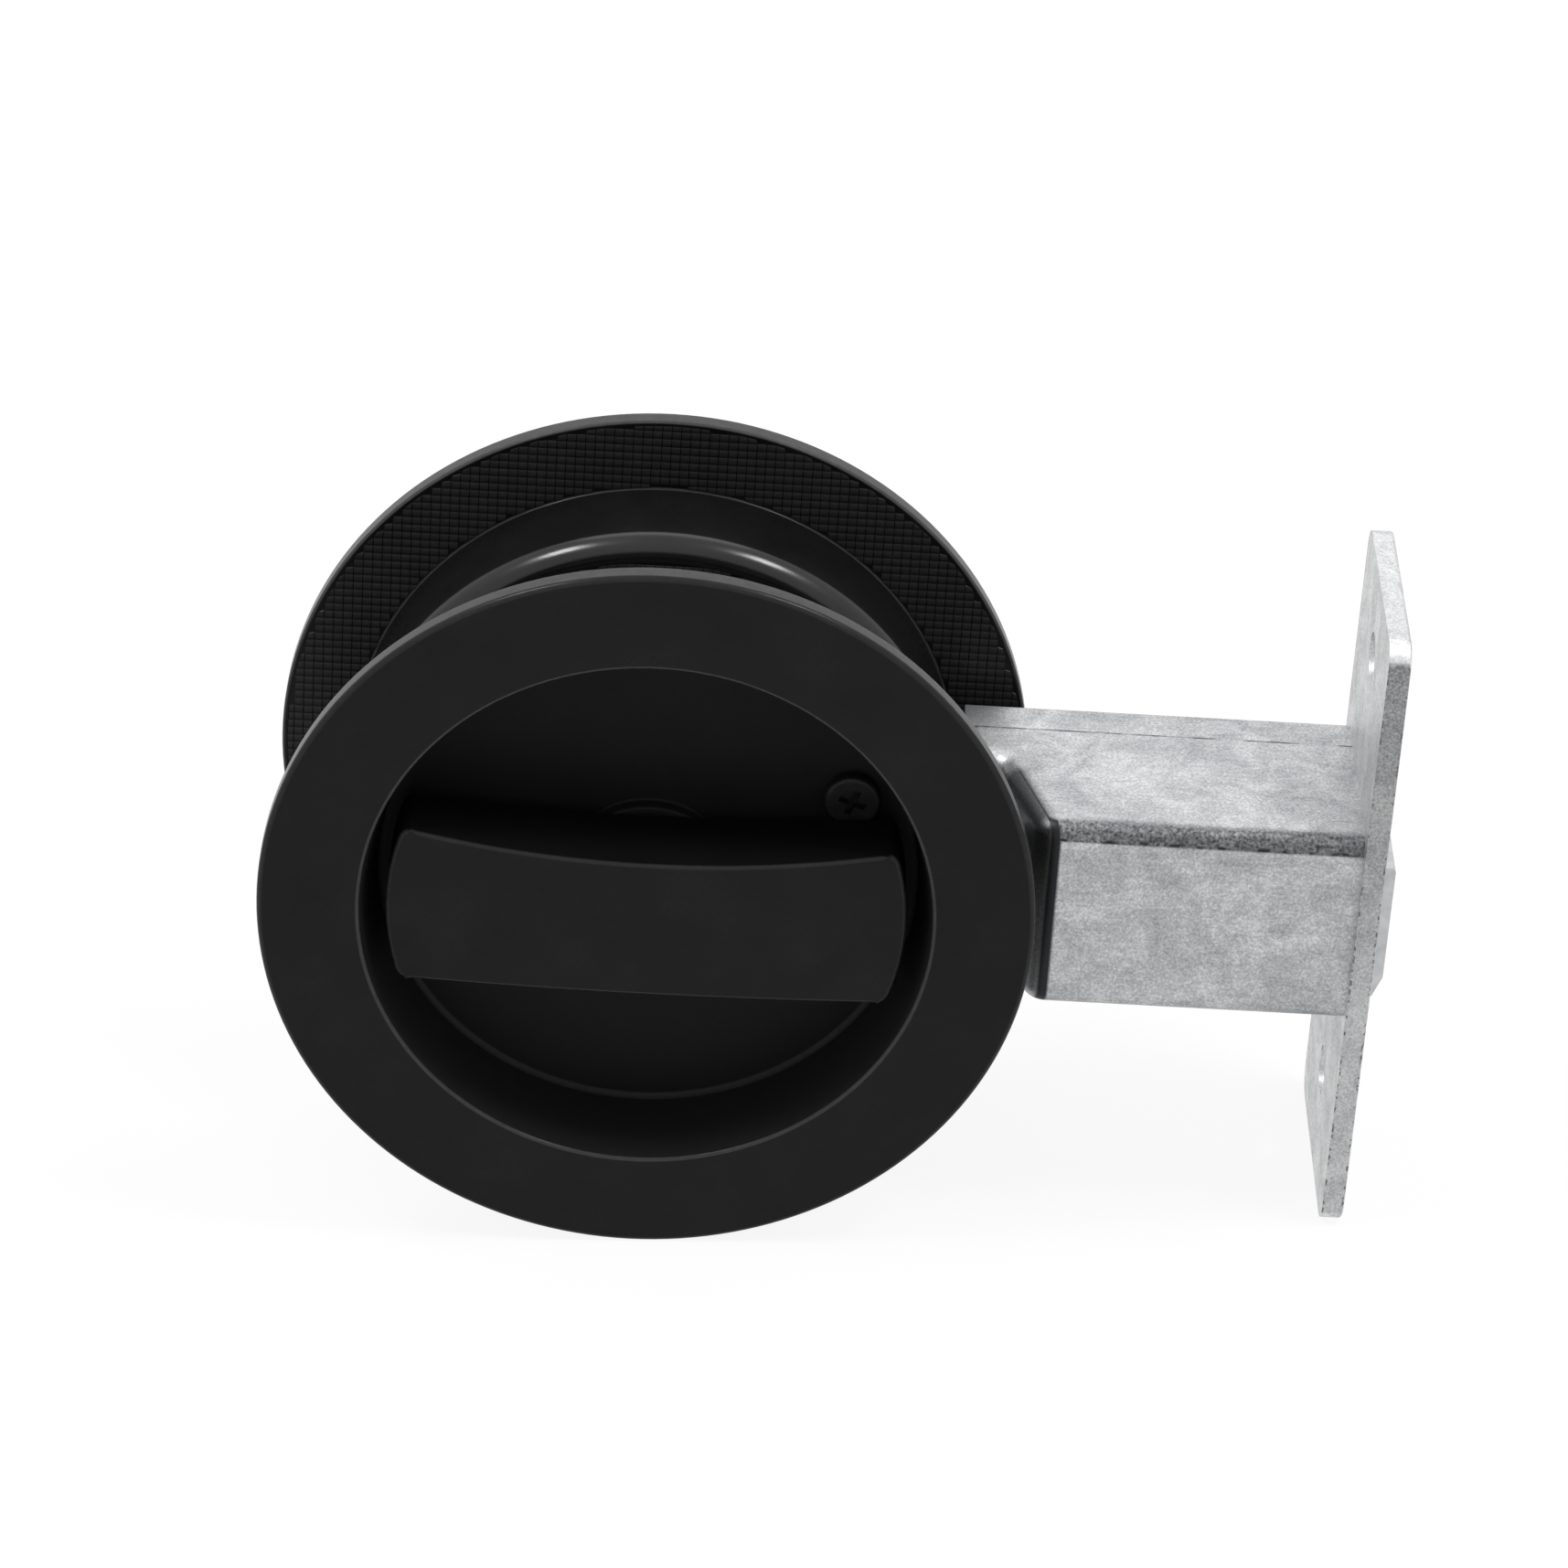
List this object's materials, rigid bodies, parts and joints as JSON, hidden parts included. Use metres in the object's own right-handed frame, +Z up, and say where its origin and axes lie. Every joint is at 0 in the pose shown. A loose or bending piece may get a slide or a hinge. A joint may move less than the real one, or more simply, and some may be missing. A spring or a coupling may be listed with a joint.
{
  "type": "sliding door lock",
  "caption": "Round flush privacy lock for a sliding door: black rosettes with a recessed turn bar, a plated steel case and a hook bolt behind a faceplate.",
  "frame": {"origin": "on the turn axis, midway between the two rosette faces", "axes": "+X towards the faceplate, -Y out of the turn bar's side, +Z up the door"},
  "size_m": [0.0969, 0.0317, 0.066],
  "materials": {
    "matte_black_zinc": "matte black coating on die-cast zinc",
    "black_oxide_steel": "black oxide",
    "zinc_plated_steel": "bright zinc plating on pressed steel",
    "bright_steel": "turned bright steel",
    "spring_steel": "oiled spring steel",
    "nylon": "black nylon",
    "brass": "turned brass",
    "die_cast_zinc": "die-cast zinc, plated"
  },
  "bodies": {
    "case": {"front_rosette": "matte_black_zinc", "back_rosette": "matte_black_zinc", "case_front_shell": "zinc_plated_steel", "case_back_shell": "zinc_plated_steel", "faceplate": "zinc_plated_steel", "hook_carrier": "zinc_plated_steel", "hook_pivot_pin": "bright_steel", "case_rivets": "zinc_plated_steel", "through_screws": "black_oxide_steel", "detent_spring": "spring_steel", "front_bush": "brass", "back_bush": "brass", "front_washer": "nylon", "back_washer": "nylon"},
    "turn": {"turn_snib": "matte_black_zinc", "release_button": "matte_black_zinc", "front_clip": "spring_steel", "back_clip": "spring_steel", "spindle": "bright_steel", "hub": "die_cast_zinc", "crank_pin": "bright_steel"},
    "link": {"drive_link": "zinc_plated_steel"},
    "hook": {"hook_bolt": "die_cast_zinc", "hook_drive_pin": "bright_steel"}
  },
  "joints": [
    {"name": "turn_spin", "type": "hinge", "parent": "case", "child": "turn", "pos_m": [0, 0, 0], "axis": [0, -1, 0], "range_deg": [0, 90], "deforming": ["detent_spring"]},
    {"name": "link_pivot", "type": "hinge", "parent": "turn", "child": "link", "pos_m": [-0.00297, 0, -0.00297], "axis": [0, -1, 0], "range_deg": [-90, 0]},
    {"name": "hook_swing", "type": "hinge", "parent": "case", "child": "hook", "pos_m": [0.058, 0, 0.0008], "axis": [0, -1, 0], "range_deg": [0, 90]}
  ],
  "couplings": [
    {"joint": "link_pivot", "follows": "turn_spin", "ratio": -1},
    {"joint": "hook_swing", "follows": "turn_spin", "ratio": 1}
  ]
}
